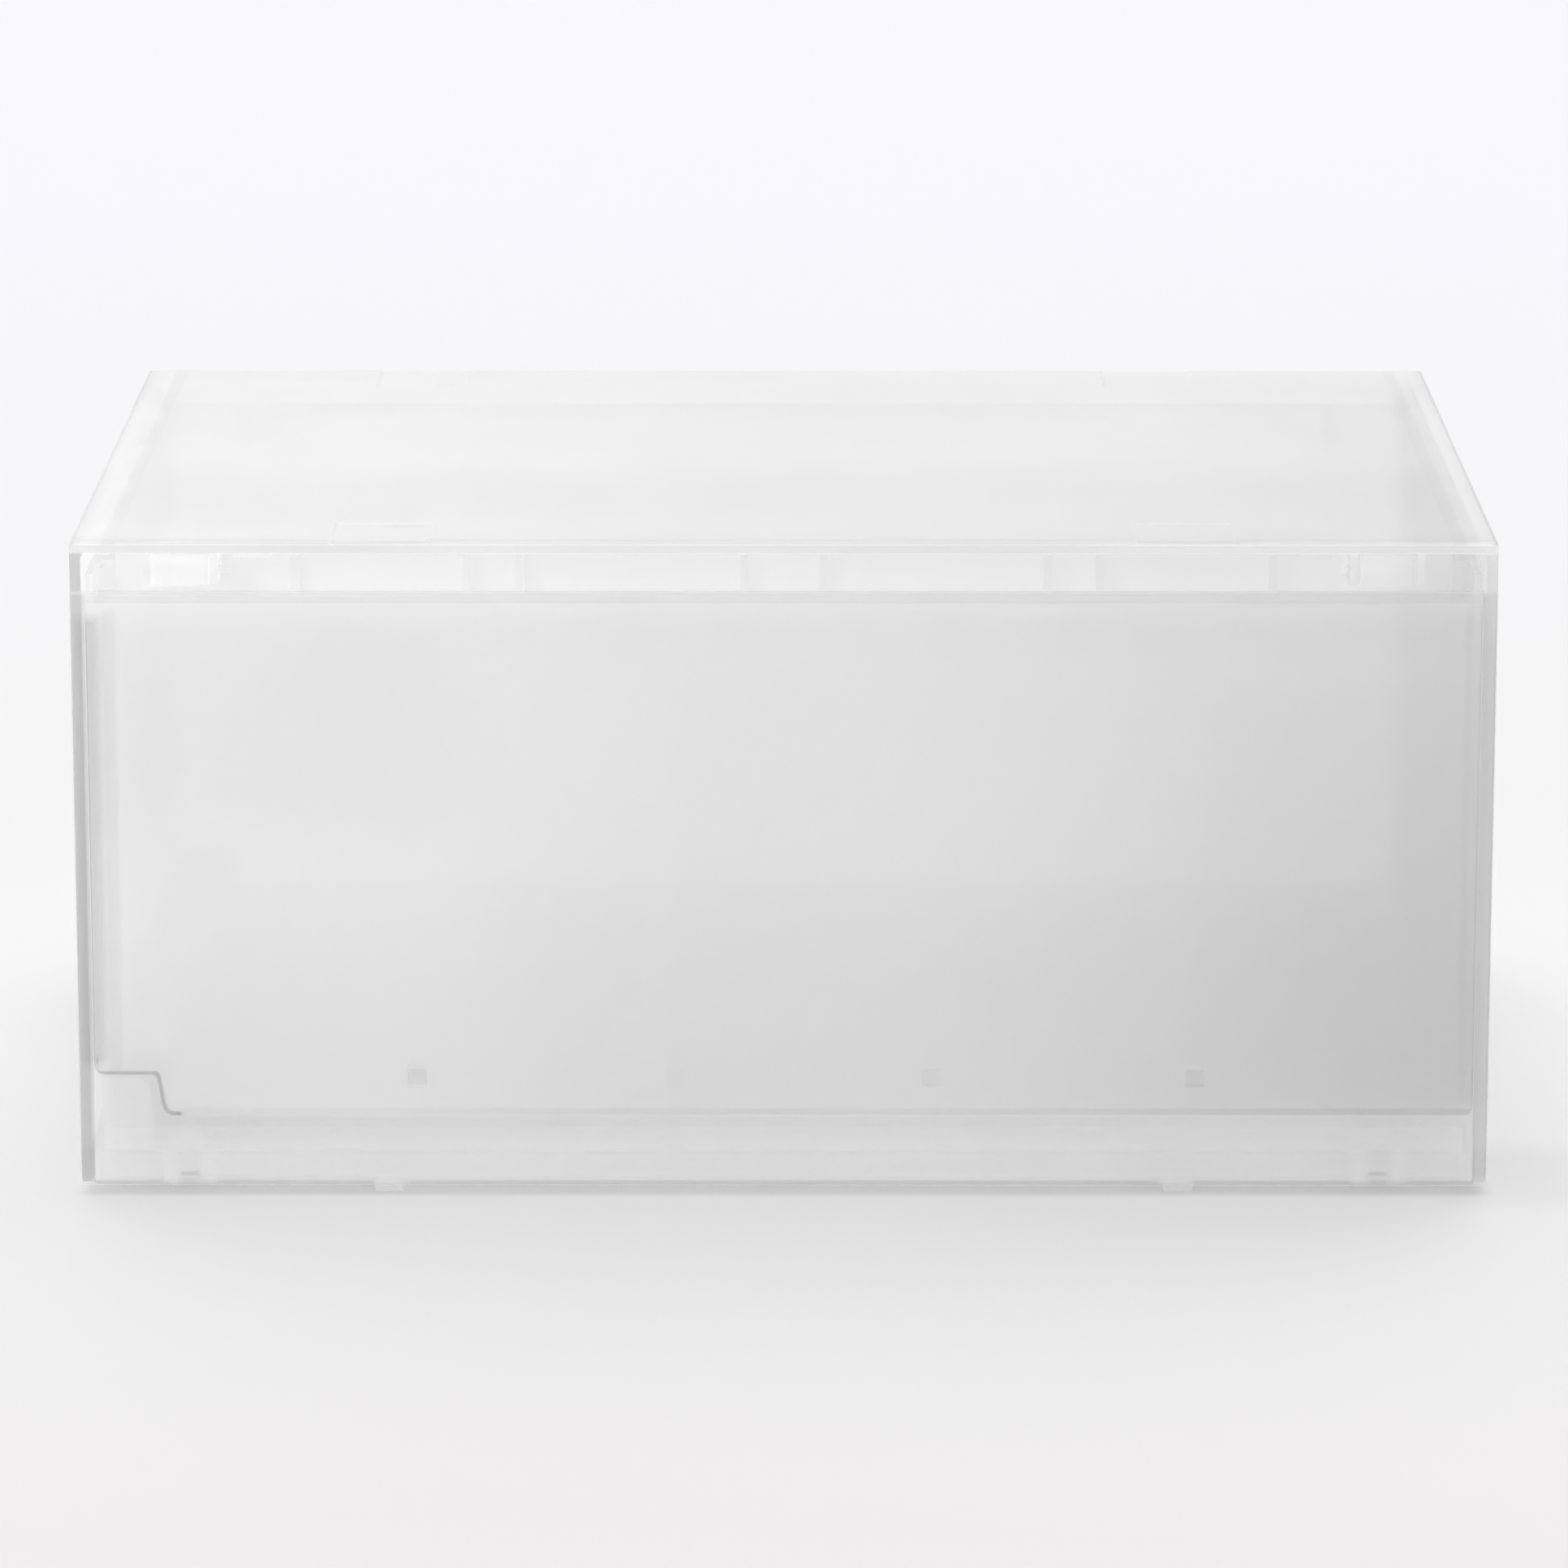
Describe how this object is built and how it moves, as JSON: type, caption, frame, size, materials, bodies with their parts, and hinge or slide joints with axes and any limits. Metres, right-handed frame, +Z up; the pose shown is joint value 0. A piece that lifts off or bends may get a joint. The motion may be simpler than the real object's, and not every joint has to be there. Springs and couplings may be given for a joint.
{
  "type": "shoe box",
  "caption": "Translucent drawer-type shoe box: a flat-topped case with a full-width pull-out tray, a finger slot above the flat front and small feet.",
  "frame": {"origin": "centre of the footprint, on the plane that the four feet stand on", "axes": "+X to the right seen from the front, +Y to the back (the drawer opens towards -Y), +Z up"},
  "size_m": [0.37, 0.26, 0.175],
  "materials": {
    "case_frosted_pp": "frosted translucent polypropylene",
    "tray_frosted_pp": "frosted translucent polypropylene",
    "panel_frosted_pp": "frosted translucent polypropylene",
    "stop_white_pp": "white polypropylene",
    "glide_natural_pom": "natural low-friction plastic",
    "foot_clear_elastomer": "clear soft elastomer"
  },
  "bodies": {
    "case": {"outer_case": "case_frosted_pp", "stop_block_left": "stop_white_pp", "stop_block_right": "stop_white_pp", "glide_left": "glide_natural_pom", "glide_right": "glide_natural_pom", "foot_front_left": "foot_clear_elastomer", "foot_front_right": "foot_clear_elastomer", "foot_rear_left": "foot_clear_elastomer", "foot_rear_right": "foot_clear_elastomer"},
    "drawer": {"drawer_tray": "tray_frosted_pp", "drawer_front_panel": "panel_frosted_pp"}
  },
  "joints": [
    {"name": "drawer_slide", "type": "slide", "parent": "case", "child": "drawer", "axis": [0, -1, 0], "range_m": [0, 0.197]}
  ]
}
